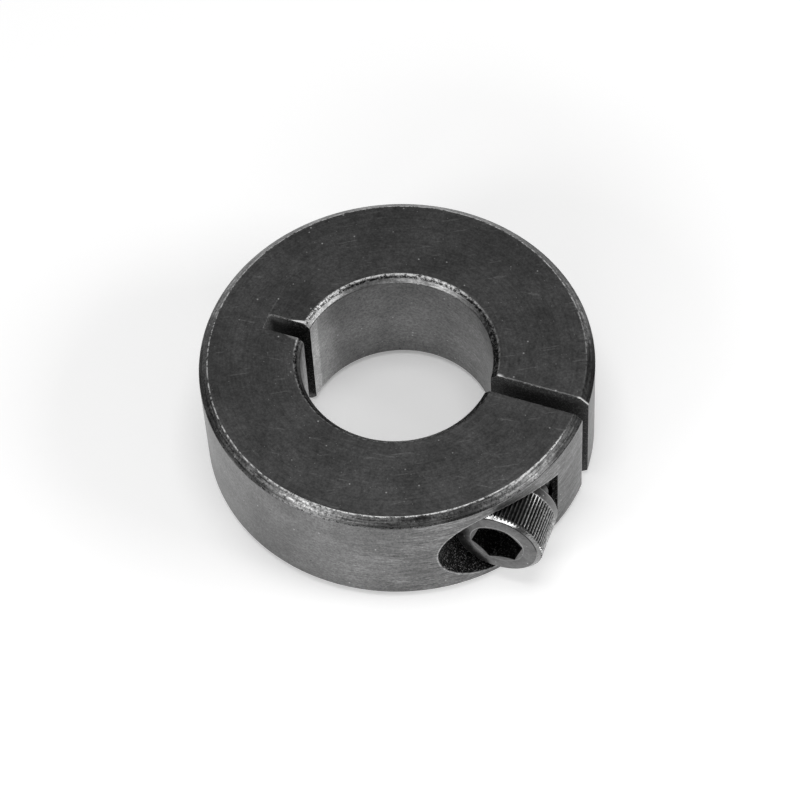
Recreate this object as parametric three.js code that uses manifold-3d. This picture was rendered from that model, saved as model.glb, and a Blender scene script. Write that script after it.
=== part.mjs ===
// One-piece clamp collar: a split ring closed by one socket head cap screw.
// Millimetres. The ring's axis is +Z with its lower face on z = 0, and the slit
// opens towards +X. The screw lies along Y, with its head on the -Y side.
import * as THREE from 'three';
import { mergeVertices } from 'three/addons/utils/BufferGeometryUtils.js';
import Module from 'manifold-3d';

const wasm = await Module();
wasm.setup();

// Ring
const OUTER_RADIUS = 16.65;
const BORE_RADIUS = 8.1;
const WIDTH = 11.1;
const RIM_CHAMFER_IN = 0.75;
const RIM_CHAMFER_DOWN = 0.65;
const BORE_CHAMFER = 0.55;
const SLIT_WIDTH = 1.6;
const RELIEF_WIDTH = 1.45;
const RELIEF_END = 11.7; // the relief slot stops this far from the axis
const WEB_SPLIT = 0.3; // the halves are stored with this gap at the flexing web
const RING_SEGMENTS = 96;

// Screw, #10-32 x 1/2 in
const SCREW_X = 12.7;
const SCREW_Z = 5.35; // a little under the ring's mid-width
const PITCH = 0.794;
const THREAD_RADIUS = 2.41;
const THREAD_DEPTH = 0.45;
const SHANK_LENGTH = 12.7;
const TIP_CHAMFER = 0.5;
const HEAD_RADIUS = 3.9;
const HEAD_HEIGHT = 4.8;
const HEAD_EDGE = 0.4; // rounding between the head's side and its face
const HEAD_BASE_CHAMFER = 0.3;
const HEAD_BAND = 1.0; // plain band under the knurl
const KNURL_DEPTH = 0.14;
const KNURL_RIDGES = 76;
const SOCKET_ACROSS_FLATS = 3.97;
const SOCKET_DEPTH = 2.4;
const SOCKET_RIM = 0.1;

// How the screw sits in the ring
const SEAT_Y = -5.0;
const HEAD_STANDOFF = 1.65; // the screw is backed off, with its head clear of the seat
const COUNTERBORE_RADIUS = 4.15;
const CLEARANCE_RADIUS = 2.7;
const TAPPED_RADIUS = 2.55;
const HOLE_SEGMENTS = 36;
const THREAD_SEGMENTS = 20;
const ROWS_PER_PITCH = 4;

const BEYOND = 2; // how far cutting tools run past the ring

const blackOxide = new THREE.MeshStandardMaterial({ color: '#47484a', roughness: 0.5, metalness: 0.8 });
const screwBlack = new THREE.MeshStandardMaterial({ color: '#3b3c3f', roughness: 0.42, metalness: 0.85 });

function solidOf(geometry) {
  const bare = geometry.clone();
  bare.deleteAttribute('normal');
  bare.deleteAttribute('uv');
  const merged = mergeVertices(bare, 1e-4);
  return new wasm.Manifold(new wasm.Mesh({
    numProp: 3,
    vertProperties: merged.attributes.position.array,
    triVerts: new Uint32Array(merged.index.array),
  }));
}

function geometryOf(solid) {
  const mesh = solid.getMesh();
  const geometry = new THREE.BufferGeometry();
  geometry.setAttribute('position', new THREE.BufferAttribute(mesh.vertProperties, 3));
  geometry.setIndex(new THREE.BufferAttribute(mesh.triVerts, 1));
  geometry.computeVertexNormals();
  return geometry;
}

function box(low, high) {
  const [x0, y0, z0] = low;
  const [x1, y1, z1] = high;
  const geometry = new THREE.BoxGeometry(x1 - x0, y1 - y0, z1 - z0);
  geometry.translate((x0 + x1) / 2, (y0 + y1) / 2, (z0 + z1) / 2);
  return solidOf(geometry);
}

// A round hole along Y, on the screw's axis.
function holeAlongY(radius, fromY, toY) {
  const geometry = new THREE.CylinderGeometry(radius, radius, toY - fromY, HOLE_SEGMENTS);
  geometry.translate(SCREW_X, (fromY + toY) / 2, SCREW_Z);
  return solidOf(geometry);
}

function wholeRing() {
  const profile = [
    [BORE_RADIUS, BORE_CHAMFER],
    [BORE_RADIUS + BORE_CHAMFER, 0],
    [OUTER_RADIUS - RIM_CHAMFER_IN, 0],
    [OUTER_RADIUS, RIM_CHAMFER_DOWN],
    [OUTER_RADIUS, WIDTH - RIM_CHAMFER_DOWN],
    [OUTER_RADIUS - RIM_CHAMFER_IN, WIDTH],
    [BORE_RADIUS + BORE_CHAMFER, WIDTH],
    [BORE_RADIUS, WIDTH - BORE_CHAMFER],
    [BORE_RADIUS, BORE_CHAMFER],
  ].map(([radius, height]) => new THREE.Vector2(radius, height));
  const geometry = new THREE.LatheGeometry(profile, RING_SEGMENTS);
  geometry.rotateX(Math.PI / 2);
  return solidOf(geometry);
}

// The slit right through the wall, and the relief slot opposite that thins it to a web.
function slots() {
  const slit = SLIT_WIDTH / 2;
  const relief = RELIEF_WIDTH / 2;
  const outside = OUTER_RADIUS + BEYOND;
  return box([0, -slit, -BEYOND], [outside, slit, WIDTH + BEYOND])
    .add(box([-RELIEF_END, -relief, -BEYOND], [0, relief, WIDTH + BEYOND]));
}

// side is -1 for the counterbored half and +1 for the tapped half.
function halfRing(side) {
  const outside = OUTER_RADIUS + BEYOND;
  const edge = side * WEB_SPLIT / 2;
  const keep = side < 0
    ? box([-outside, -outside, -BEYOND], [outside, edge, WIDTH + BEYOND])
    : box([-outside, edge, -BEYOND], [outside, outside, WIDTH + BEYOND]);
  return wholeRing().intersect(keep).subtract(slots());
}

function counterboredHalf() {
  const outside = OUTER_RADIUS + BEYOND;
  return halfRing(-1)
    .subtract(holeAlongY(COUNTERBORE_RADIUS, -outside, SEAT_Y))
    .subtract(holeAlongY(CLEARANCE_RADIUS, SEAT_Y - BEYOND, 0));
}

function tappedHalf() {
  const outside = OUTER_RADIUS + BEYOND;
  return halfRing(1).subtract(holeAlongY(TAPPED_RADIUS, 0, outside));
}

// Screw pieces are drawn about Y with the head's bearing face on y = 0, head towards -Y.
function head() {
  const sweep = [0, 1, 2, 3].map((step) => (step / 3) * Math.PI / 2);
  const rounded = sweep.map((angle) => new THREE.Vector2(
    HEAD_RADIUS - KNURL_DEPTH - HEAD_EDGE * (1 - Math.sin(angle)),
    -HEAD_HEIGHT + HEAD_EDGE * (1 - Math.cos(angle)),
  ));
  const knurlStart = -HEAD_HEIGHT + HEAD_EDGE;
  const knurlEnd = -HEAD_BAND;
  const profile = [
    new THREE.Vector2(0, -HEAD_HEIGHT),
    ...rounded,
    new THREE.Vector2(HEAD_RADIUS, knurlStart + KNURL_DEPTH),
    new THREE.Vector2(HEAD_RADIUS, knurlEnd),
    new THREE.Vector2(HEAD_RADIUS - KNURL_DEPTH, knurlEnd + KNURL_DEPTH),
    new THREE.Vector2(HEAD_RADIUS - KNURL_DEPTH, -HEAD_BASE_CHAMFER),
    new THREE.Vector2(HEAD_RADIUS - KNURL_DEPTH - HEAD_BASE_CHAMFER, 0),
    new THREE.Vector2(0, 0),
  ];
  const geometry = new THREE.LatheGeometry(profile, 2 * KNURL_RIDGES);
  cutKnurl(geometry);
  return solidOf(geometry);
}

// Every other line of the full-radius rows drops by the knurl's depth.
function cutKnurl(geometry) {
  const place = geometry.attributes.position;
  const step = Math.PI / KNURL_RIDGES;
  for (let i = 0; i < place.count; i += 1) {
    const radius = Math.hypot(place.getX(i), place.getZ(i));
    const line = Math.round(Math.atan2(place.getZ(i), place.getX(i)) / step);
    if (radius > HEAD_RADIUS - 1e-3 && line % 2 !== 0) {
      const scale = (HEAD_RADIUS - KNURL_DEPTH) / radius;
      place.setX(i, place.getX(i) * scale);
      place.setZ(i, place.getZ(i) * scale);
    }
  }
}

// A cylinder whose radius rises and falls with the helix, fading out at the tip.
function shank() {
  const rows = Math.round(SHANK_LENGTH / PITCH * ROWS_PER_PITCH);
  const geometry = new THREE.CylinderGeometry(1, 1, SHANK_LENGTH + 1, THREAD_SEGMENTS, rows);
  geometry.translate(0, (SHANK_LENGTH - 1) / 2, 0);
  const place = geometry.attributes.position;
  for (let i = 0; i < place.count; i += 1) {
    const unit = Math.hypot(place.getX(i), place.getZ(i));
    if (unit > 0.5) {
      const radius = threadRadius(Math.atan2(place.getZ(i), place.getX(i)), place.getY(i));
      place.setX(i, place.getX(i) / unit * radius);
      place.setZ(i, place.getZ(i) / unit * radius);
    }
  }
  return solidOf(geometry);
}

function threadRadius(angle, y) {
  const turn = y / PITCH + angle / (2 * Math.PI);
  const phase = turn - Math.floor(turn);
  const ridge = 1 - Math.abs(2 * phase - 1);
  const toTip = SHANK_LENGTH - y;
  const tipLimit = THREAD_RADIUS - Math.max(0, TIP_CHAMFER - toTip);
  return Math.min(THREAD_RADIUS - THREAD_DEPTH * (1 - ridge), tipLimit);
}

// Hexagonal socket with a coned rim, cut into the head's face.
function socket() {
  const face = -HEAD_HEIGHT;
  const corner = SOCKET_ACROSS_FLATS / Math.sqrt(3);
  const hexagon = new THREE.CylinderGeometry(corner, corner, SOCKET_DEPTH + 1, 6);
  hexagon.translate(0, face + (SOCKET_DEPTH - 1) / 2, 0);
  const drillTip = new THREE.CylinderGeometry(0, SOCKET_ACROSS_FLATS / 2, 0.8, 6);
  drillTip.translate(0, face + SOCKET_DEPTH + 0.4 - 0.01, 0);
  const narrow = corner - SOCKET_RIM;
  const wide = corner + SOCKET_RIM;
  const rim = new THREE.CylinderGeometry(narrow, wide, 2 * SOCKET_RIM, HOLE_SEGMENTS);
  rim.translate(0, face, 0);
  return solidOf(hexagon).add(solidOf(drillTip)).add(solidOf(rim));
}

function clampScrew() {
  return head().add(shank()).subtract(socket());
}

function named(name, solid, material) {
  const mesh = new THREE.Mesh(geometryOf(solid), material);
  mesh.name = name;
  return mesh;
}

const collar = new THREE.Group();
collar.add(named('ring_half_counterbored', counterboredHalf(), blackOxide));
collar.add(named('ring_half_tapped', tappedHalf(), blackOxide));

const screw = named('clamp_screw', clampScrew(), screwBlack);
screw.position.set(SCREW_X, SEAT_Y - HEAD_STANDOFF, SCREW_Z);
collar.add(screw);

export default collar;
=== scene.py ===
"""Clamp shaft collar: the visible ring and screw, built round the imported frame.

Shapes are worked out in millimetres and turned into metres when a mesh is made.
The ring's axis is +Z, the slit opens to +X and the screw lies along Y, head towards -Y.
"""

import math

import bmesh
import bpy
import numpy as np
from mathutils import Matrix, Vector


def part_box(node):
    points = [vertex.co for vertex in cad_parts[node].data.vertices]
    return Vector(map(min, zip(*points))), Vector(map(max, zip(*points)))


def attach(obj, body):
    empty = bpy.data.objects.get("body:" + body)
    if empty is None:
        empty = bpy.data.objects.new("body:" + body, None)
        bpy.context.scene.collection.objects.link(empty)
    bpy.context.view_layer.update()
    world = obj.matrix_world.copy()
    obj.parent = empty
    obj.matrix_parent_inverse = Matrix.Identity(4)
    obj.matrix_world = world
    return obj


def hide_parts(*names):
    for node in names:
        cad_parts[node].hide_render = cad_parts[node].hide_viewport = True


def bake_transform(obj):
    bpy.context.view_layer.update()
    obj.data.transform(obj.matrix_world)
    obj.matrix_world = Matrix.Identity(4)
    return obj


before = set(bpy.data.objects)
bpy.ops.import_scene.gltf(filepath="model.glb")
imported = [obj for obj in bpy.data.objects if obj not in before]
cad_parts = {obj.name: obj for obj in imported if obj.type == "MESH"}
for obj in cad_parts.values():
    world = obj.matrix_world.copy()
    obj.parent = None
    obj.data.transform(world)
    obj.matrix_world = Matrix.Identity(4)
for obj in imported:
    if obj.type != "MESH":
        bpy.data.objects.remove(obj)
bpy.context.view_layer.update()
MM = 0.001


def mm_box(node):
    """A CAD node's lowest and highest corners in millimetres."""
    low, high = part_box(node)
    return [value / MM for value in low], [value / MM for value in high]


# Sizes, in millimetres. The outsides come from the frame.
_, RING_HIGH = mm_box("ring_half_tapped")
SCREW_LOW, SCREW_HIGH = mm_box("clamp_screw")
TURN = 2 * math.pi

# Ring
OUTER = RING_HIGH[1] - 0.01
WIDTH = RING_HIGH[2]
BORE = 8.1
RIM_CHAMFER_IN = 0.75
RIM_CHAMFER_DOWN = 0.65
BORE_CHAMFER = 0.55
SLIT_HALF = 0.8
RELIEF_HALF = 0.725
RELIEF_END = 11.7
RELIEF_CORNER = 0.35
EDGE_BREAK = 0.07
SAWN_EDGE_BREAK = 0.06
OUTER_POINTS = 361
BORE_POINTS = 151

# Holes for the screw
SCREW_X = (SCREW_LOW[0] + SCREW_HIGH[0]) / 2
SCREW_Z = (SCREW_LOW[2] + SCREW_HIGH[2]) / 2
SEAT_Y = -5.0
COUNTERBORE = 4.15
CLEARANCE = 2.7
TAPPED_MINOR = 2.55
TAPPED_MAJOR = 2.8

# Screw
HEAD_RADIUS = (SCREW_HIGH[2] - SCREW_LOW[2]) / 2
HEAD_HEIGHT = 4.8
HEAD_FACE_Y = SCREW_LOW[1]
HEAD_BASE_Y = HEAD_FACE_Y + HEAD_HEIGHT
HEAD_SLACK = 0.02  # keeps the finer head inside the CAD one
FACE_RADIUS = 3.45
FACE_CHAMFER = 0.4
KNURL_RIDGES = 76
KNURL_POINTS = 6  # for each ridge
KNURL_DEPTH = 0.17
KNURL_END = 3.75
KNURL_RUNOUT = 0.12
KNURL_GROOVE = 1.35  # above 1, the grooves get a flat bottom
SOCKET_FLATS = 3.97
SOCKET_CORNER = SOCKET_FLATS / math.sqrt(3)
SOCKET_DEPTH = 2.4
SOCKET_CONE = 0.75
SOCKET_TURN = 0.2  # in sixths of a turn
SHANK_LENGTH = SCREW_HIGH[1] - HEAD_BASE_Y
SHANK_IN_HEAD = 0.6
PLAIN_NECK = 0.5
THREAD_RUNIN = 0.6
TIP_CHAMFER = 0.55
TIP_SLOPE = 0.9
PITCH = 0.794
THREAD_RADIUS = 2.41
THREAD_DEPTH = 0.45
THREAD_COLUMNS = 72

# The thread's shape as fractions of a pitch, and the rows of points that draw it
THREAD_ROOT = 0.06
THREAD_CREST = 0.42
THREAD_ROWS = (0.0, THREAD_ROOT, 0.24, THREAD_CREST, 1 - THREAD_CREST, 0.76, 1 - THREAD_ROOT)

# Finish, with painted shade in some tones: a tone is the part of the light that a surface mirrors
FACE_TONE = 0.13
SIDE_TONE = 0.17
RIM_TONE = 0.085
RIM_WORN_TONE = 0.2
BORE_CHAMFER_TONE = 0.23
# Painted shade: the screw's holes are painted near black, partly for their rough cut finish and partly for
# the shade inside them
DRILLED_WALL_SHADE_TONE = 0.008
# Painted shade: the walls of the slit are painted dark
SLIT_SHADE_TONE = 0.09
SCREW_TONE = 0.13
HEAD_CHAMFER_TONE = 0.23
# Painted shade: a dark line between the head's face and its chamfer, on the upper side only
HEAD_EDGE_SHADE_TONE = 0.02
# Painted shade: the socket is painted near black
SOCKET_SHADE_TONE = 0.03
BARE_TONE = 0.7
DARKEST = 0.004
KNOCKED_AT = -97.0  # degrees round the ring
ARC_RADIUS = 12.0  # lengths round the ring are measured at this radius


# ---------------------------------------------------------------- mesh helpers

def piece_from(name, points_mm, faces):
    """A mesh object from points in millimetres."""
    mesh = bpy.data.meshes.new(name)
    mesh.from_pydata([tuple(c * MM for c in p) for p in points_mm], [], faces)
    mesh.validate()
    obj = bpy.data.objects.new(name, mesh)
    bpy.context.scene.collection.objects.link(obj)
    face_out(mesh)
    return obj


def face_out(mesh):
    """Merges points that coincide and turns every face of a closed mesh outwards."""
    bm = bmesh.new()
    bm.from_mesh(mesh)
    bmesh.ops.remove_doubles(bm, verts=bm.verts, dist=1e-5 * MM)
    bmesh.ops.recalc_face_normals(bm, faces=bm.faces)
    bm.to_mesh(mesh)
    bm.free()


def grid_piece(name, rows):
    """A tube through rows of points, all with the same count, closed by flat ends."""
    count = len(rows[0])
    points = [p for row in rows for p in row]
    faces = []
    for level in range(len(rows) - 1):
        for k in range(count):
            nxt = (k + 1) % count
            a, b = level * count, (level + 1) * count
            faces.append((a + k, a + nxt, b + nxt, b + k))
    faces.append(tuple(range(count)))
    faces.append(tuple(range((len(rows) - 1) * count, len(rows) * count)))
    return piece_from(name, points, faces)


def in_order(mesh):
    """The same mesh with its points and faces in one fixed order, so that every run is alike."""
    points = [tuple(v.co) for v in mesh.vertices]
    order = sorted(range(len(points)), key=points.__getitem__)
    rank = {old: new for new, old in enumerate(order)}
    faces = []
    for polygon in mesh.polygons:
        corners = [rank[i] for i in polygon.vertices]
        first = corners.index(min(corners))
        faces.append(tuple(corners[first:] + corners[:first]))
    ordered = bpy.data.meshes.new(mesh.name)
    ordered.from_pydata([points[i] for i in order], [], sorted(faces))
    return ordered


def boolean(target, cutter, operation):
    """Joins or cuts target with cutter, which is used up."""
    modifier = target.modifiers.new("cut", "BOOLEAN")
    modifier.operation = operation
    modifier.solver = "EXACT"
    modifier.object = cutter
    graph = bpy.context.evaluated_depsgraph_get()
    result = bpy.data.meshes.new_from_object(target.evaluated_get(graph))
    target.modifiers.remove(modifier)
    target.data = in_order(result)
    bpy.data.objects.remove(cutter)


def bevel_where(obj, wanted, width_mm, min_angle=25.0):
    """Rounds the sharp edges whose two ends both satisfy wanted(x, y, z) in millimetres."""
    bm = bmesh.new()
    bm.from_mesh(obj.data)
    bmesh.ops.remove_doubles(bm, verts=bm.verts, dist=0.012 * MM)
    chosen = []
    for edge in bm.edges:
        if len(edge.link_faces) != 2:
            continue
        if edge.calc_face_angle(0.0) < math.radians(min_angle):
            continue
        if all(wanted(*(c / MM for c in v.co)) for v in edge.verts):
            chosen.append(edge)
    bmesh.ops.bevel(bm, geom=chosen, offset=width_mm * MM, segments=2, profile=0.5,
                    affect="EDGES", clamp_overlap=True)
    bm.to_mesh(obj.data)
    bm.free()


def finish_mesh(obj, sharp_angle=8.0):
    """Smooth faces, sharp creases, and the rest position in millimetres for the material."""
    mesh = obj.data
    mesh.polygons.foreach_set("use_smooth", [True] * len(mesh.polygons))
    mesh.set_sharp_from_angle(angle=math.radians(sharp_angle))
    places = np.empty(len(mesh.vertices) * 3, dtype=np.float32)
    mesh.vertices.foreach_get("co", places)
    rest = mesh.attributes.new("rest_mm", "FLOAT_VECTOR", "POINT")
    rest.data.foreach_set("vector", places / MM)
    mesh.update()


# ---------------------------------------------------------------- the ring

def soft_corners(points, cut, steps=2):
    """An open profile with each inner corner replaced by a short curve."""
    out = [points[0]]
    for before, corner, after in zip(points, points[1:], points[2:]):
        b, c, a = (np.array(p, float) for p in (before, corner, after))
        start = c + (b - c) / np.linalg.norm(b - c) * cut
        end = c + (a - c) / np.linalg.norm(a - c) * cut
        for i in range(steps + 1):
            t = i / steps
            out.append(tuple((1 - t) ** 2 * start + 2 * t * (1 - t) * c + t ** 2 * end))
    out.append(points[-1])
    return out


def wall_profile(face_offset, depth):
    """Offset from a wall against height, for a wall whose two rims are chamfered."""
    rim = [
        (face_offset + 3 * EDGE_BREAK, WIDTH),
        (face_offset, WIDTH),
        (0.0, WIDTH - depth),
        (0.0, WIDTH / 2),
    ]
    upper = soft_corners(rim, EDGE_BREAK)[1:]
    lower = [(offset, WIDTH - height) for offset, height in reversed(upper)]
    return upper + lower[1:]


def offset_at(profile, height):
    heights = np.array([h for _, h in profile])[::-1]
    offsets = np.array([o for o, _ in profile])[::-1]
    return float(np.interp(height, heights, offsets))


def arc(radius, start, end, count):
    return [(radius * math.cos(t), radius * math.sin(t)) for t in np.linspace(start, end, count)]


def line(a, b, count):
    return [tuple(p) for p in np.linspace(a, b, count + 1)[:-1]]


def ring_outline(outer, bore, slit, relief, relief_end):
    """The ring's closed outline at one height, round in the corners of the relief slot."""
    at_rim, at_bore, at_relief = (math.asin(v) for v in (slit / outer, slit / bore, relief / bore))
    rim_x, bore_x, relief_x = outer * math.cos(at_rim), bore * math.cos(at_bore), -bore * math.cos(at_relief)
    round_x, round_y = RELIEF_CORNER - relief_end, relief - RELIEF_CORNER
    parts = [
        arc(outer, at_rim, TURN - at_rim, OUTER_POINTS),
        line((rim_x, -slit), (bore_x, -slit), 8)[1:],
        arc(bore, TURN - at_bore, math.pi + at_relief, BORE_POINTS),
        line((relief_x, -relief), (round_x, -relief), 5)[1:],
        arc_corner((round_x, -round_y), RELIEF_CORNER, 1.5 * math.pi, math.pi),
        arc_corner((round_x, round_y), RELIEF_CORNER, math.pi, 0.5 * math.pi),
        line((round_x, relief), (relief_x, relief), 5)[1:],
        arc(bore, math.pi - at_relief, at_bore, BORE_POINTS),
        line((bore_x, slit), (rim_x, slit), 8)[1:],
    ]
    return [p for part in parts for p in part]


def arc_corner(centre, radius, start, end):
    return [(centre[0] + x, centre[1] + y) for x, y in arc(radius, start, end, 6)]


def ring_body():
    """The ring before its screw holes, as a stack of outlines from bottom to top."""
    rim = wall_profile(RIM_CHAMFER_IN, RIM_CHAMFER_DOWN)
    bore = wall_profile(BORE_CHAMFER, BORE_CHAMFER)
    sawn = wall_profile(SAWN_EDGE_BREAK, SAWN_EDGE_BREAK)
    heights = sorted({round(h, 4) for profile in (rim, bore, sawn) for _, h in profile})
    rows = []
    for height in heights:
        flare = offset_at(sawn, height)
        outline = ring_outline(
            OUTER - offset_at(rim, height), BORE + offset_at(bore, height),
            SLIT_HALF + flare, RELIEF_HALF + flare, RELIEF_END + flare)
        rows.append([(x, y, height) for x, y in outline])
    return grid_piece("collar_ring", rows)


def round_screw(radius, angle, y):
    """A point at a distance and angle from the screw's axis."""
    return SCREW_X + radius * math.cos(angle), y, SCREW_Z + radius * math.sin(angle)


def round_rod(name, radius, y_start, y_end, columns):
    """A plain closed rod on the screw's axis."""
    return grid_piece(name, [
        [round_screw(radius, TURN * k / columns, y) for k in range(columns)] for y in (y_start, y_end)])


def threaded_rod(name, radius_at, y_start, y_end):
    """A closed rod on the screw's axis. radius_at(angle, y) gives its surface.

    Its rows follow the thread and are held back at the two ends, where they merge.
    """
    columns = THREAD_COLUMNS
    steps = len(THREAD_ROWS)
    first = math.floor(y_start / PITCH) - 1
    levels = (math.ceil(y_end / PITCH) + 1 - first) * steps + 1
    points = []
    for level in range(levels):
        turns = first + level // steps + THREAD_ROWS[level % steps]
        for k in range(columns):
            y = min(max((turns - k / columns) * PITCH, y_start), y_end)
            angle = TURN * k / columns
            points.append(round_screw(radius_at(angle, y), angle, y))
    faces = []
    for level in range(levels - 1):
        for k in range(columns - 1):
            a = level * columns + k
            faces.append((a, a + 1, a + 1 + columns, a + columns))
        if level >= steps:
            a = (level + 1) * columns - 1
            b = (level - steps) * columns
            faces.append((a, b, b + columns, a + columns))
    faces.append(tuple(range(columns)))
    faces.append(tuple(range((levels - 1) * columns, levels * columns)))
    return piece_from(name, points, faces)


def thread_height(angle, y):
    """0 in the thread's root and 1 on its crest, for a right-hand thread about +Y."""
    turns = y / PITCH + angle / TURN
    phase = turns - math.floor(turns)
    corners = (THREAD_ROOT, THREAD_CREST, 1 - THREAD_CREST, 1 - THREAD_ROOT)
    return float(np.interp(phase, corners, (0, 1, 1, 0)))


def tapped_cutter():
    def radius_at(angle, y):
        return TAPPED_MINOR + (TAPPED_MAJOR - TAPPED_MINOR) * thread_height(angle, y)
    return threaded_rod("tap", radius_at, 0.0, OUTER + 1)


def at_counterbore_mouth(x, y, z):
    """True on the counterbore's wall, all the way out to its mouth."""
    return abs(math.hypot(x - SCREW_X, z - SCREW_Z) - COUNTERBORE) < 0.02 and y < SEAT_Y + 0.02


def make_ring():
    ring = ring_body()
    boolean(ring, round_rod("counterbore", COUNTERBORE, -OUTER - 2, SEAT_Y, 144), "DIFFERENCE")
    boolean(ring, round_rod("clearance", CLEARANCE, SEAT_Y - 1, 0, 72), "DIFFERENCE")
    boolean(ring, tapped_cutter(), "DIFFERENCE")
    bevel_where(ring, at_counterbore_mouth, 0.05)
    finish_mesh(ring)
    return ring


# ---------------------------------------------------------------- the screw

def head_profile():
    """The turned head before knurling, as distance behind the face against radius."""
    side = HEAD_RADIUS - HEAD_SLACK
    band = side - 0.08
    steps = np.linspace(0.08, 0.97, 7)
    chamfer = [(FACE_CHAMFER * t, FACE_RADIUS + (side - FACE_RADIUS) * t) for t in steps]
    return [
        (0.0, FACE_RADIUS - 0.05),
        (0.012, FACE_RADIUS),
        *chamfer,
        (FACE_CHAMFER + 0.04, side),
        (HEAD_HEIGHT / 2, side),
        (KNURL_END - 0.1, side),
        (KNURL_END - 0.02, side),
        (KNURL_END + 0.05, side - 0.05),
        (KNURL_END + 0.13, band),
        (HEAD_HEIGHT - 0.34, band),
        (HEAD_HEIGHT - 0.27, band - 0.03),
        (HEAD_HEIGHT - 0.03, band - 0.27),
        (HEAD_HEIGHT, band - 0.33),
    ]


def knurl_radius(column, behind):
    """The knurl's surface: narrow ridges, with wide grooves that run out at KNURL_END."""
    across = abs((column % KNURL_POINTS + 0.5) / (KNURL_POINTS / 2) - 1)
    fade = min(1.0, max(0.0, (KNURL_END - behind) / KNURL_RUNOUT))
    return HEAD_RADIUS - HEAD_SLACK - KNURL_DEPTH * fade * min(1.0, KNURL_GROOVE * across)


def make_head():
    columns = KNURL_RIDGES * KNURL_POINTS
    rows = []
    for behind, turned in head_profile():
        rows.append([
            round_screw(min(turned, knurl_radius(k, behind)), TURN * k / columns, HEAD_FACE_Y + behind)
            for k in range(columns)])
    return grid_piece("collar_screw", rows)


def make_shank():
    def radius_at(angle, y):
        along = y - HEAD_BASE_Y
        tip = THREAD_RADIUS - max(0.0, TIP_CHAMFER - (SHANK_LENGTH - along)) * TIP_SLOPE
        root = THREAD_RADIUS - THREAD_DEPTH
        grown = min(1.0, max(0.0, (along - PLAIN_NECK) / THREAD_RUNIN))
        return min(root + THREAD_DEPTH * thread_height(angle, y) * grown, tip)
    return threaded_rod("shank", radius_at, HEAD_BASE_Y - SHANK_IN_HEAD, HEAD_BASE_Y + SHANK_LENGTH)


def socket_cutter():
    """The hexagon with its drilled bottom."""
    rows = []
    for behind, scale in ((-0.5, 1.0), (SOCKET_DEPTH, 1.0), (SOCKET_DEPTH + SOCKET_CONE, 0.12)):
        rows.append([
            round_screw(SOCKET_CORNER * scale, TURN * (k + SOCKET_TURN) / 6, HEAD_FACE_Y + behind)
            for k in range(6)])
    return grid_piece("socket", rows)


def socket_rim_cutter():
    """The cone that eases the hexagon's mouth."""
    rows = []
    for behind, radius in ((-0.05, SOCKET_CORNER + 0.175), (0.12, SOCKET_CORNER - 0.352)):
        rows.append([round_screw(radius, TURN * k / 96, HEAD_FACE_Y + behind) for k in range(96)])
    return grid_piece("socket_rim", rows)


def make_screw():
    screw = make_head()
    boolean(screw, make_shank(), "UNION")
    boolean(screw, socket_cutter(), "DIFFERENCE")
    boolean(screw, socket_rim_cutter(), "DIFFERENCE")
    finish_mesh(screw, 24.0)
    return screw


# ---------------------------------------------------------------- materials

class Nodes:
    """A material whose node tree is written as expressions."""

    def __init__(self, name):
        self.material = bpy.data.materials.new(name)
        self.material.use_nodes = True
        self.tree = self.material.node_tree
        self.tree.nodes.clear()
        self.output = self.tree.nodes.new("ShaderNodeOutputMaterial")
        self.shader = self.tree.nodes.new("ShaderNodeBsdfPrincipled")
        self.tree.links.new(self.shader.outputs[0], self.output.inputs["Surface"])

    def feed(self, socket, value):
        if isinstance(value, bpy.types.NodeSocket):
            self.tree.links.new(value, socket)
        elif value is not None:
            socket.default_value = value

    def math(self, operation, a, b=None, c=None):
        node = self.tree.nodes.new("ShaderNodeMath")
        node.operation = operation
        for socket, value in zip(node.inputs, (a, b, c)):
            self.feed(socket, value)
        return node.outputs[0]

    def ramp(self, value, low, high, to_low=0.0, to_high=1.0):
        node = self.tree.nodes.new("ShaderNodeMapRange")
        node.interpolation_type = "SMOOTHSTEP"
        names = ("Value", "From Min", "From Max", "To Min", "To Max")
        for name, v in zip(names, (value, low, high, to_low, to_high)):
            self.feed(node.inputs[name], v)
        return node.outputs[0]

    def attribute(self, name):
        node = self.tree.nodes.new("ShaderNodeAttribute")
        node.attribute_name = name
        return node.outputs["Vector"]

    def parts(self, vector):
        node = self.tree.nodes.new("ShaderNodeSeparateXYZ")
        self.feed(node.inputs[0], vector)
        return node.outputs[0], node.outputs[1], node.outputs[2]

    def vector(self, x, y, z):
        node = self.tree.nodes.new("ShaderNodeCombineXYZ")
        for socket, value in zip(node.inputs, (x, y, z)):
            self.feed(socket, value)
        return node.outputs[0]

    def noise(self, vector, scale, detail=3.0, rough=0.55):
        node = self.tree.nodes.new("ShaderNodeTexNoise")
        self.feed(node.inputs["Vector"], vector)
        node.inputs["Scale"].default_value = scale
        node.inputs["Detail"].default_value = detail
        node.inputs["Roughness"].default_value = rough
        return node.outputs["Fac"]

    def mix_value(self, amount, a, b):
        node = self.tree.nodes.new("ShaderNodeMix")
        node.data_type = "FLOAT"
        for index, value in ((0, amount), (2, a), (3, b)):
            self.feed(node.inputs[index], value)
        return node.outputs[0]

    def grey(self, value):
        return self.vector(value, value, value)

    def normal_z(self):
        """1 on faces that look up or down, 0 on upright ones."""
        node = self.tree.nodes.new("ShaderNodeNewGeometry")
        return self.math("ABSOLUTE", self.parts(node.outputs["True Normal"])[2])

    def bump(self, height, strength, distance):
        node = self.tree.nodes.new("ShaderNodeBump")
        self.feed(node.inputs["Height"], height)
        node.inputs["Strength"].default_value = strength
        node.inputs["Distance"].default_value = distance
        self.tree.links.new(node.outputs[0], self.shader.inputs["Normal"])


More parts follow.
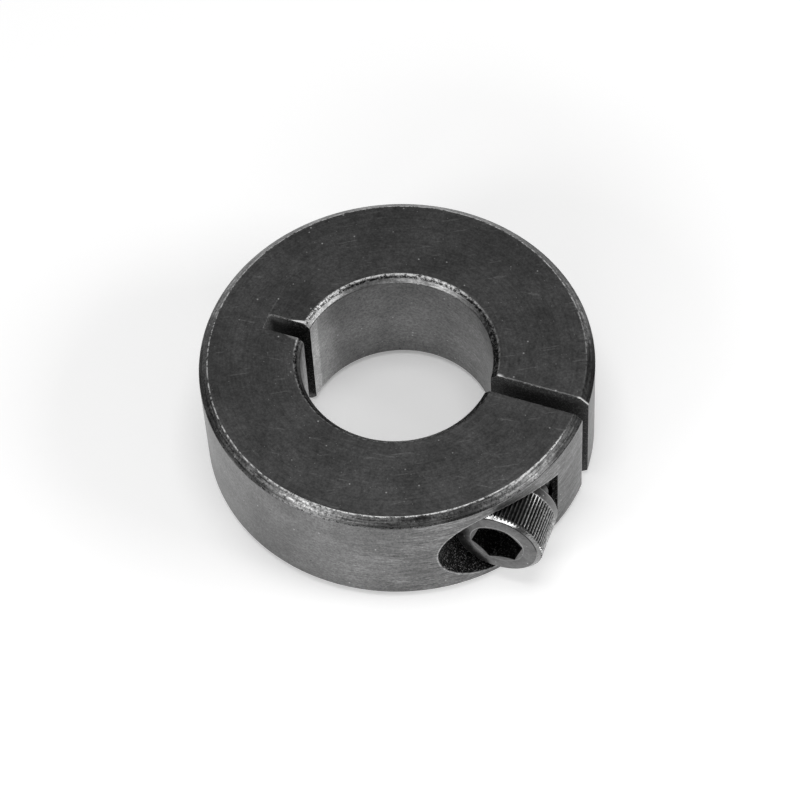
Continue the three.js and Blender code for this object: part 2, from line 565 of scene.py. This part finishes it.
def line_at(n, value, place, half_width):
    """1 where value equals place, falling to 0 at half_width from it."""
    away = n.math("ABSOLUTE", n.math("SUBTRACT", value, place))
    return n.ramp(away, 0.0, half_width, 1.0, 0.0)


def length_of(n, a, b):
    return n.math("SQRT", n.math("ADD", n.math("MULTIPLY", a, a), n.math("MULTIPLY", b, b)))


def swing(n, noise, amount):
    """A factor that wanders about 1, by up to half the amount, as the noise wanders."""
    return n.math("ADD", n.ramp(noise, 0.3, 0.7, -amount / 2, amount / 2), 1.0)


def product(n, *factors):
    total = factors[0]
    for factor in factors[1:]:
        total = n.math("MULTIPLY", total, factor)
    return total


def most(n, *values):
    top = values[0]
    for value in values[1:]:
        top = n.math("MAXIMUM", top, value)
    return top


def invert(n, value):
    return n.math("SUBTRACT", 1.0, value)


def stretched(n, a, b, c, fine_a, fine_b, detail, rough=0.65):
    """Noise drawn out along a, with its own fineness along a and along b."""
    along = n.math("MULTIPLY", a, fine_a)
    across = n.math("MULTIPLY", b, fine_b)
    return n.noise(n.vector(along, across, c), 1.0, detail, rough)


def scratches(n, a, b, c, turn, fineness, keep):
    """Thin straight scratches in one direction of the a, b plane: 1 on a scratch, 0 elsewhere."""
    cos, sin = math.cos(turn), math.sin(turn)
    along = n.math("ADD", n.math("MULTIPLY", a, cos), n.math("MULTIPLY", b, sin))
    across = n.math("SUBTRACT", n.math("MULTIPLY", b, cos), n.math("MULTIPLY", a, sin))
    return n.ramp(stretched(n, along, across, c, 0.35, fineness, 1.0, 0.5), keep, keep + 0.08)


def specks(n, rest, scale, keep, size):
    """Scattered round dots: one dot in some of the cells of a Voronoi pattern."""
    node = n.tree.nodes.new("ShaderNodeTexVoronoi")
    n.feed(node.inputs["Vector"], rest)
    node.inputs["Scale"].default_value = scale
    chosen = n.ramp(n.parts(node.outputs["Color"])[0], keep, keep + 0.02)
    return n.math("MULTIPLY", chosen, n.ramp(node.outputs["Distance"], size * 0.4, size, 1.0, 0.0))


def face_tone(n, place):
    """The end faces: dull oxide with mottling, grain, faint turning marks and hair scratches."""
    x, y, z = place.x, place.y, place.z
    clouds = n.noise(place.rest, 0.25, 3.0, 0.6)
    mottle = n.noise(place.rest, 1.6, 4.0, 0.75)
    grain = n.noise(place.rest, 4.5, 2.0, 0.7)
    turned = stretched(n, place.around, place.radius, z, 0.12, 5.0, 2.0)
    tone = product(n, swing(n, clouds, 0.35), swing(n, mottle, 0.36), swing(n, grain, 0.36),
                   swing(n, turned, 0.2))
    hair = most(n, scratches(n, x, y, z, 0.5, 4.0, 0.67), scratches(n, x, y, z, 0.1, 3.0, 0.69))
    return n.math("MULTIPLY", tone, n.math("ADD", n.math("MULTIPLY", hair, 0.07), FACE_TONE))


def side_tone(n, place):
    """The turned outside and the bore: satin, with streaks round the ring and slanting scratches, painted
    shade at the foot and by the slit, and a painted highlight band in the bore beside the relief slot.
    """
    clouds = n.noise(place.rest, 0.22, 3.0, 0.6)
    grain = n.noise(place.rest, 4.5, 3.0, 0.75)
    long_streaks = stretched(n, place.around, place.z, place.radius, 0.3, 3.5, 3.0)
    fine_streaks = stretched(n, place.around, place.z, place.radius, 1.3, 9.0, 2.0)
    rubbed = n.ramp(n.math("ADD", place.x, n.math("MULTIPLY", clouds, 8.0)), 2.0, 13.0)
    turned = product(n, swing(n, long_streaks, 0.4), swing(n, fine_streaks, 0.75))
    streaks = n.mix_value(rubbed, swing(n, long_streaks, 0.12), turned)
    slanted = most(n, scratches(n, place.around, place.z, place.radius, 0.25, 5.0, 0.6),
                   scratches(n, place.around, place.z, place.radius, -0.6, 5.0, 0.62))
    # Painted shade: the outside is darker towards the bottom, where the floor it mirrors lies in shadow
    foot_shade = n.ramp(place.z, 0.5, 6.0, 0.85, 1.0)
    # Painted shade on the outside next to the slit, darker on the far jaw
    by_slit = n.ramp(place.x, 14.0, 16.4, 1.0, n.ramp(place.y, -0.1, 0.1, 0.84, 0.7))
    # Painted highlight: a bright band on the bore wall on both sides of the relief slot
    band = n.math("ADD", n.ramp(place.y, 1.7, 2.0, 1.3, 0.0), n.ramp(place.y, 1.9, 4.5, 1.1, 0.0))
    band = n.mix_value(n.ramp(place.y, -0.1, 0.1), n.ramp(place.y, -1.9, -1.5, 0.0, 1.1), band)
    by_relief = product(n, band, n.ramp(place.x, -6.9, -6.3, 1.0, 0.0),
                        n.ramp(place.radius, 9.0, 9.1, 1.0, 0.0))
    pits = specks(n, place.rest, 1.1, 0.75, 0.14)
    tone = product(n, swing(n, clouds, 0.4), swing(n, grain, 0.6), streaks, foot_shade, by_slit, SIDE_TONE)
    tone = product(n, tone, n.math("ADD", by_relief, 1.0), n.mix_value(pits, 1.0, 0.45))
    return n.math("ADD", tone, product(n, slanted, rubbed, 0.05))


def rim_chamfer_tone(n, place):
    """The outer chamfers: turned streaks, dark patches and patches rubbed bright, with painted shade that
    halves the tone next to the slit.
    """
    rough = n.noise(place.rest, 3.5, 4.0, 0.8)
    patches = n.math("MULTIPLY", n.ramp(n.noise(place.rest, 0.25, 2.0, 0.6), 0.45, 0.6), 0.8)
    patches = most(n, patches, line_at(n, place.around, math.radians(KNOCKED_AT) * ARC_RADIUS, 4.5))
    by_slit = n.ramp(n.math("ABSOLUTE", place.around), 3.2, 4.8, 1.0, 0.0)
    patches = n.math("MULTIPLY", patches, invert(n, by_slit))
    lines = stretched(n, place.around, place.radius, 0.0, 0.35, 6.0, 3.0, 0.7)
    dark = product(n, swing(n, rough, 1.2), swing(n, lines, 1.2), RIM_TONE)
    bright = product(n, swing(n, rough, 1.7), swing(n, lines, 1.3), RIM_WORN_TONE)
    pitted = n.math("MULTIPLY", line_at(n, place.radius, OUTER - 0.05, 0.3), n.ramp(rough, 0.5, 0.58))
    worn = n.math("MULTIPLY", n.mix_value(patches, dark, bright), n.mix_value(pitted, 1.0, 0.1))
    # Painted shade: the chamfer's tone is halved next to the slit
    return n.math("MULTIPLY", worn, n.mix_value(by_slit, 1.0, 0.5))


def bore_chamfer_tone(n, place):
    """The bore chamfers: torn and dark on the outside, smooth and bright next to the bore."""
    flecks = n.ramp(n.noise(place.rest, 4.0, 4.0, 0.8), 0.45, 0.7, 0.02, 0.45)
    lines = stretched(n, place.around, place.radius, 0.0, 0.5, 6.0, 2.0)
    grain = n.noise(place.rest, 3.0, 3.0, 0.75)
    smooth = product(n, swing(n, lines, 0.7), swing(n, grain, 0.6), BORE_CHAMFER_TONE)
    outside = n.ramp(place.radius, BORE + 0.24, BORE + 0.32)
    outside = n.math("MAXIMUM", outside, n.ramp(place.x, 4.5, 7.0))
    return n.mix_value(outside, smooth, flecks)


def off_slot(n, place):
    """The distance outwards from the nearer wall of the slit or of the relief slot."""
    half = n.ramp(place.x, -0.1, 0.1, RELIEF_HALF, SLIT_HALF)
    return n.math("SUBTRACT", n.math("ABSOLUTE", place.y), half)


def edge_burrs(n, place, upright, flat, cut):
    """Bright broken lines and torn spots where the turned faces meet chamfers and slots."""
    broken = n.ramp(n.noise(place.rest, 3.0, 4.0, 0.8), 0.4, 0.58)
    low = invert(n, upright)
    uncut = n.math("MULTIPLY", low, invert(n, cut))
    off = off_slot(n, place)
    slit_side = n.ramp(place.x, -0.1, 0.1)
    tapped_side = n.ramp(place.y, -0.1, 0.1)

    # Broken lines
    away = n.math("ADD", n.ramp(place.around, 1.0, 9.0, 0.1, 1.0), n.ramp(place.around, -3.0, -1.5, 0.9, 0.0))
    outer = product(n, line_at(n, place.radius, OUTER - RIM_CHAMFER_IN, 0.1), uncut, away)
    inner = product(n, line_at(n, place.radius, BORE + BORE_CHAMFER - 0.03, 0.13), uncut,
                    n.ramp(place.x, 2.0, 7.0, 1.0, 0.4), n.ramp(place.y, -3.0, 0.0, 0.5, 1.0))
    slot = product(n, line_at(n, off, 0.04, 0.07), flat, n.ramp(place.x, -RELIEF_END - 0.1, -RELIEF_END),
                   n.ramp(place.radius, BORE + 0.6, BORE + 2.0, 0.9, 0.25))
    mouth = product(n, line_at(n, place.beyond, COUNTERBORE + 0.04, 0.1),
                    n.ramp(place.radius, OUTER - 0.12, OUTER - 0.04),
                    n.ramp(place.y, SEAT_Y, SEAT_Y + 0.1, 1.0, 0.0), 0.5)
    lines = n.math("MULTIPLY", most(n, outer, inner, slot, mouth), broken)

    # Torn metal at the relief slot's mouth, narrowing away from the bore
    width = n.ramp(place.radius, BORE + 0.5, BORE + 2.0, 0.38, 0.05)
    torn = n.ramp(n.math("DIVIDE", off, width), 0.6, 1.0, 1.2, 0.0)
    by_relief = product(n, torn, n.ramp(place.radius, BORE + 1.4, BORE + 2.2, 1.0, 0.0), flat,
                        invert(n, slit_side), n.mix_value(tapped_side, 0.25, 1.0))
    # Torn spots at both ends of the slit, and its bright upright edge
    blob = product(n, line_at(n, off, 0.1, 0.26), line_at(n, place.radius, BORE + 0.75, 0.5), flat)
    tear = product(n, line_at(n, off, 0.05, 0.17), n.ramp(place.radius, OUTER - 1.1, OUTER - 0.8), low)
    by_slit = product(n, n.math("MAXIMUM", blob, tear), slit_side, tapped_side)
    outside = n.ramp(place.radius, OUTER - 0.3, OUTER - 0.1)
    edge = product(n, line_at(n, off, 0.04, 0.09), upright, outside, slit_side, invert(n, tapped_side), 0.4)
    return most(n, lines, by_relief, by_slit, edge)


def cuts(n, place):
    """The walls of the slit, the relief slot and the screw's holes: mask, a dark tone of painted shade, and
    chips.
    """
    inside = n.ramp(place.radius, OUTER - 0.06, OUTER - 0.02, 1.0, 0.0)
    sawn = n.ramp(off_slot(n, place), 0.01, 0.05, 1.0, 0.0)
    sawn = n.math("MULTIPLY", sawn, n.ramp(place.x, -RELIEF_END - 0.06, -RELIEF_END - 0.02))
    # The holes' walls take painted shade together with their rough cut finish
    drilled = n.ramp(place.beyond, COUNTERBORE + 0.01, COUNTERBORE + 0.03, 1.0, 0.0)
    # Painted shade in the relief slot, deepening from its end towards the bore, and painted light from the
    # floor near its bottom
    relief_shade_and_light = n.ramp(place.x, -RELIEF_END, -BORE - 0.9, 0.2, 0.02)
    relief_shade_and_light = n.math("ADD", relief_shade_and_light, n.ramp(place.z, 0.5, 1.1, 0.15, 0.0))
    sawn_shade_tone = n.mix_value(n.ramp(place.x, -0.1, 0.1), relief_shade_and_light, SLIT_SHADE_TONE)
    tone = n.mix_value(sawn, DRILLED_WALL_SHADE_TONE, sawn_shade_tone)
    chips = n.noise(place.rest, 8.0, 3.0, 0.7)
    chips = n.mix_value(sawn, n.ramp(chips, 0.53, 0.66, 0.0, 0.42), n.ramp(chips, 0.48, 0.72, 0.0, 0.26))
    return n.math("MAXIMUM", sawn, n.math("MULTIPLY", drilled, inside)), tone, chips


class Place:
    """A point's position in the ring's and the screw's own measures, in millimetres."""

    def __init__(self, n):
        self.rest = n.attribute("rest_mm")
        self.x, self.y, self.z = n.parts(self.rest)
        self.radius = length_of(n, self.x, self.y)
        self.around = n.math("MULTIPLY", n.math("ARCTAN2", self.y, self.x), ARC_RADIUS)
        self.beyond = length_of(n, n.math("SUBTRACT", self.x, SCREW_X), n.math("SUBTRACT", self.z, SCREW_Z))
        self.behind = n.math("SUBTRACT", self.y, HEAD_FACE_Y)


def worn_metal(n, tone, bare, roughness, relief):
    """Oxide of the given tone, with bare torn metal that scatters light where bare is 1."""
    n.feed(n.shader.inputs["Base Color"], n.grey(n.mix_value(bare, tone, BARE_TONE)))
    n.feed(n.shader.inputs["Metallic"], invert(n, n.math("MULTIPLY", bare, 0.9)))
    n.feed(n.shader.inputs["Roughness"], roughness)
    n.bump(relief, 0.35, 0.00002)


def ring_steel():
    n = Nodes("ring_black_oxide")
    place = Place(n)
    up = n.normal_z()
    flat = n.ramp(up, 0.88, 0.95)
    upright = n.ramp(up, 0.2, 0.35, 1.0, 0.0)
    chamfered = n.math("SUBTRACT", invert(n, flat), upright)

    middle = (BORE + OUTER) / 2
    chamfers = n.mix_value(n.ramp(place.radius, middle, middle + 0.1), bore_chamfer_tone(n, place),
                           rim_chamfer_tone(n, place))
    tone = n.mix_value(flat, side_tone(n, place), face_tone(n, place))
    tone = n.mix_value(chamfered, tone, chamfers)

    cut, cut_shade_tone, chips = cuts(n, place)
    torn = n.noise(place.rest, 4.0, 4.0, 0.8)
    # The walls of the slit, the relief slot and the holes take their painted shade here
    tone = n.math("MAXIMUM", n.mix_value(cut, tone, cut_shade_tone), DARKEST)
    dots = n.math("MULTIPLY", specks(n, place.rest, 1.3, 0.7, 0.13), 0.5)
    dots = n.math("MAXIMUM", dots, n.math("MULTIPLY", specks(n, place.rest, 2.9, 0.8, 0.16), 0.3))
    bare = most(n, edge_burrs(n, place, upright, flat, cut), n.math("MULTIPLY", chips, cut),
                n.math("MULTIPLY", dots, n.mix_value(cut, 1.0, 0.8)))
    rough = n.mix_value(cut, n.math("ADD", n.math("MULTIPLY", torn, 0.3), 0.22), 0.7)
    worn_metal(n, tone, bare, rough, torn)
    return n.material


def knurl_tone(n, place, grain):
    """Painted shade in the grooves, and a painted highlight on the ridges that grows towards the head's +X
    side.
    """
    out = n.math("SUBTRACT", place.x, SCREW_X)
    # Painted highlight: the ridges grow brighter towards the head's +X side
    side_crest_highlight = n.ramp(out, 1.2, 3.2, 0.14, 0.42)
    # Painted shade: the grooves are painted near black, darkest on the +X side
    groove_shade = n.ramp(out, 1.2, 3.2, 0.035, 0.006)
    crest = n.ramp(place.beyond, HEAD_RADIUS - KNURL_DEPTH, HEAD_RADIUS - HEAD_SLACK - 0.03)
    tone = n.math("ADD", n.math("MULTIPLY", crest, side_crest_highlight), groove_shade)
    return n.math("MULTIPLY", swing(n, grain, 1.2), tone)


def screw_burrs_and_highlights(n, place):
    """Bright edges round the socket's mouth, the face and the head's base, and scattered specks; the mouth's
    line is partly a burr and partly a painted highlight, and the face's rim is a painted highlight.
    """
    # Partly a burr and partly a painted highlight, strongest on the upper side
    mouth = product(n, line_at(n, place.beyond, SOCKET_CORNER + 0.03, 0.07),
                    n.ramp(place.behind, 0.03, 0.12, 1.0, 0.0),
                    n.ramp(place.z, SCREW_Z - 0.5, SCREW_Z + 1.5, 0.1, 0.5))
    # Painted highlight: the face's rim is bright on the lower side only
    lower = n.ramp(n.math("SUBTRACT", place.z, SCREW_Z), -1.0, 1.0, 1.0, 0.0)
    rim = product(n, line_at(n, place.beyond, FACE_RADIUS, 0.05),
                  n.ramp(place.behind, 0.02, 0.1, 1.0, 0.0), lower, 0.35)
    base = n.math("MULTIPLY", line_at(n, place.behind, HEAD_HEIGHT - 0.3, 0.06), 0.5)
    dots = n.math("MULTIPLY", specks(n, place.rest, 2.2, 0.6, 0.16), 0.6)
    return most(n, mouth, rim, base, dots)


def in_socket(n, place):
    """1 on the socket's walls and bottom."""
    return product(n, n.ramp(place.behind, 0.13, 0.18),
                   n.ramp(place.beyond, SOCKET_CORNER + 0.04, SOCKET_CORNER + 0.08, 1.0, 0.0),
                   n.ramp(place.behind, HEAD_HEIGHT - 0.5, HEAD_HEIGHT - 0.3, 1.0, 0.0))


def screw_steel():
    n = Nodes("screw_black_oxide")
    place = Place(n)
    grain = n.noise(place.rest, 4.5, 4.0, 0.75)
    mottle = n.noise(place.rest, 1.2, 3.0, 0.6)
    tone = product(n, swing(n, grain, 0.5), swing(n, mottle, 0.3), SCREW_TONE)
    knurled = n.math("MULTIPLY", n.ramp(place.behind, 0.25, 0.4),
                     n.ramp(place.behind, KNURL_END - 0.05, KNURL_END + 0.05, 1.0, 0.0))
    tone = n.mix_value(knurled, tone, knurl_tone(n, place, grain))

    chamfer = product(n, n.ramp(place.behind, 0.02, 0.06), n.ramp(place.behind, 0.38, 0.46, 1.0, 0.0),
                      n.ramp(place.beyond, FACE_RADIUS, FACE_RADIUS + 0.04))
    tone = n.mix_value(chamfer, tone, product(n, swing(n, grain, 0.5), HEAD_CHAMFER_TONE))
    # Painted shade: a dark line at the face's edge on the upper side
    groove_shade = product(n, line_at(n, place.beyond, FACE_RADIUS + 0.02, 0.07),
                     n.ramp(place.z, SCREW_Z, SCREW_Z + 1.0))
    tone = n.mix_value(groove_shade, tone, HEAD_EDGE_SHADE_TONE)
    # Painted shade inside the socket
    inside = in_socket(n, place)
    tone = n.mix_value(inside, tone, SOCKET_SHADE_TONE)

    chips = n.ramp(n.noise(place.rest, 6.0, 3.0, 0.7), 0.5, 0.7, 0.0, 0.3)
    bare = n.mix_value(inside, screw_burrs_and_highlights(n, place), chips)
    rough = n.mix_value(chamfer, n.math("ADD", n.math("MULTIPLY", grain, 0.2), 0.2), 0.16)
    worn_metal(n, tone, bare, rough, grain)
    return n.material


def floor_white():
    n = Nodes("floor_white")
    n.shader.inputs["Base Color"].default_value = (0.9, 0.9, 0.9, 1)
    n.shader.inputs["Roughness"].default_value = 0.9
    n.shader.inputs["Emission Color"].default_value = (1, 1, 1, 1)
    n.shader.inputs["Emission Strength"].default_value = 0.26
    return n.material


# ---------------------------------------------------------------- the studio

AZIMUTH = 22.8
ELEVATION = 55.6
ROLL = 3.7
CAMERA_DISTANCE = 340.7 * OUTER / 20
AIM_RIGHT = 0.36 * OUTER / 20
AIM_UP = -4.35 * OUTER / 20
LENS = 152.4
SENSOR = 36.0


def directions(azimuth, elevation):
    """Right, up and back vectors of a camera that looks from azimuth and elevation, in degrees."""
    a, e = math.radians(azimuth), math.radians(elevation)
    back = Vector((math.sin(a) * math.cos(e), -math.cos(a) * math.cos(e), math.sin(e)))
    right = Vector((math.cos(a), math.sin(a), 0.0))
    return right, back.cross(right), back


def make_camera():
    right, up, back = directions(AZIMUTH, ELEVATION)
    roll = math.radians(ROLL)
    tilted_right = right * math.cos(roll) - up * math.sin(roll)
    tilted_up = right * math.sin(roll) + up * math.cos(roll)
    data = bpy.data.cameras.new("camera")
    data.lens = LENS
    data.sensor_width = SENSOR
    data.clip_start = 0.01
    camera = bpy.data.objects.new("camera", data)
    place = Vector((0, 0, WIDTH)) + back * CAMERA_DISTANCE + tilted_right * AIM_RIGHT + tilted_up * AIM_UP
    axes = Matrix((tilted_right, tilted_up, back)).transposed().to_4x4()
    camera.matrix_world = Matrix.Translation(place * MM) @ axes
    bpy.context.scene.collection.objects.link(camera)
    bpy.context.scene.camera = camera


def softbox(name, azimuth, elevation, distance, size, watts):
    """An area light that faces the ring. azimuth counts from the camera's side."""
    right, up, back = directions(AZIMUTH + azimuth, elevation)
    data = bpy.data.lights.new(name, "AREA")
    data.shape = "RECTANGLE"
    data.size, data.size_y = size
    data.energy = watts
    light = bpy.data.objects.new(name, data)
    axes = Matrix((right, up, back)).transposed().to_4x4()
    light.matrix_world = Matrix.Translation(back * distance) @ axes
    bpy.context.scene.collection.objects.link(light)


def make_world():
    world = bpy.data.worlds.new("studio")
    world.use_nodes = True
    world.node_tree.nodes["Background"].inputs["Color"].default_value = (1, 1, 1, 1)
    world.node_tree.nodes["Background"].inputs["Strength"].default_value = 0.2
    bpy.context.scene.world = world


def make_lights():
    softbox("top", 0, 89, 0.5, (0.3, 0.2), 0.85)
    softbox("left", -53, 28, 0.5, (0.15, 0.2), 0.55)
    softbox("right", 76, 31, 0.5, (0.26, 0.16), 0.9)
    softbox("front", -18, 24, 0.5, (0.33, 0.08), 0.6)


def make_floor():
    """A wide white floor just under the collar."""
    half = 3.0
    low = -0.00002
    corners = [(-half, -half, low), (half, -half, low), (half, half, low), (-half, half, low)]
    mesh = bpy.data.meshes.new("floor")
    mesh.from_pydata(corners, [], [(0, 1, 2, 3)])
    floor = bpy.data.objects.new("floor", mesh)
    bpy.context.scene.collection.objects.link(floor)
    mesh.materials.append(floor_white())


# ---------------------------------------------------------------- assembly

make_camera()
make_world()
make_lights()
make_floor()
bpy.context.scene.view_settings.view_transform = "Standard"

ring = make_ring()
ring.data.materials.append(ring_steel())
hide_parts("ring_half_counterbored", "ring_half_tapped")
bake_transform(ring)

screw = make_screw()
screw.data.materials.append(screw_steel())
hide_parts("clamp_screw")
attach(screw, "screw")
